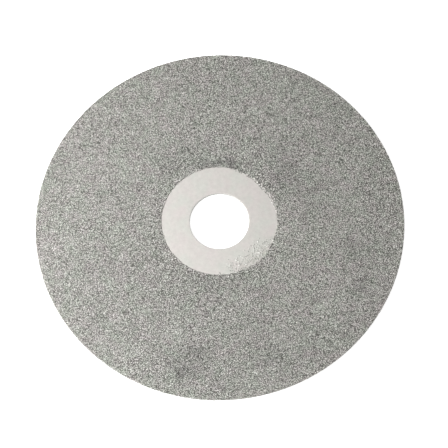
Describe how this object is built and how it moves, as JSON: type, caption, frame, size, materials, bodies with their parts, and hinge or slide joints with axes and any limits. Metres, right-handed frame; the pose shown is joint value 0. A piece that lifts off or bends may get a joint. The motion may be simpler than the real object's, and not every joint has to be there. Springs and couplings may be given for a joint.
{
  "type": "diamond grinding wheel",
  "caption": "Thin flat round grinding wheel: plated steel disc with a central arbor bore, a bare clamping ring round it, and a layer of diamond grit over one face and the rim.",
  "frame": {"origin": "centre of the arbor bore on the back face", "axes": "+Z along the spindle axis, out of the face that carries the grit; -Y towards the viewer of the front, +X to that viewer's right"},
  "size_m": [0.1, 0.1, 0.0011],
  "materials": {
    "blank_steel": "satin",
    "plated_nickel": "matte",
    "bond_nickel": "matte",
    "diamond": "satin"
  },
  "bodies": {
    "root": {"steel_blank": "blank_steel", "nickel_plating": "plated_nickel", "nickel_bond": "bond_nickel", "diamond_grit": "diamond", "stray_grit": "diamond"}
  },
  "joints": []
}
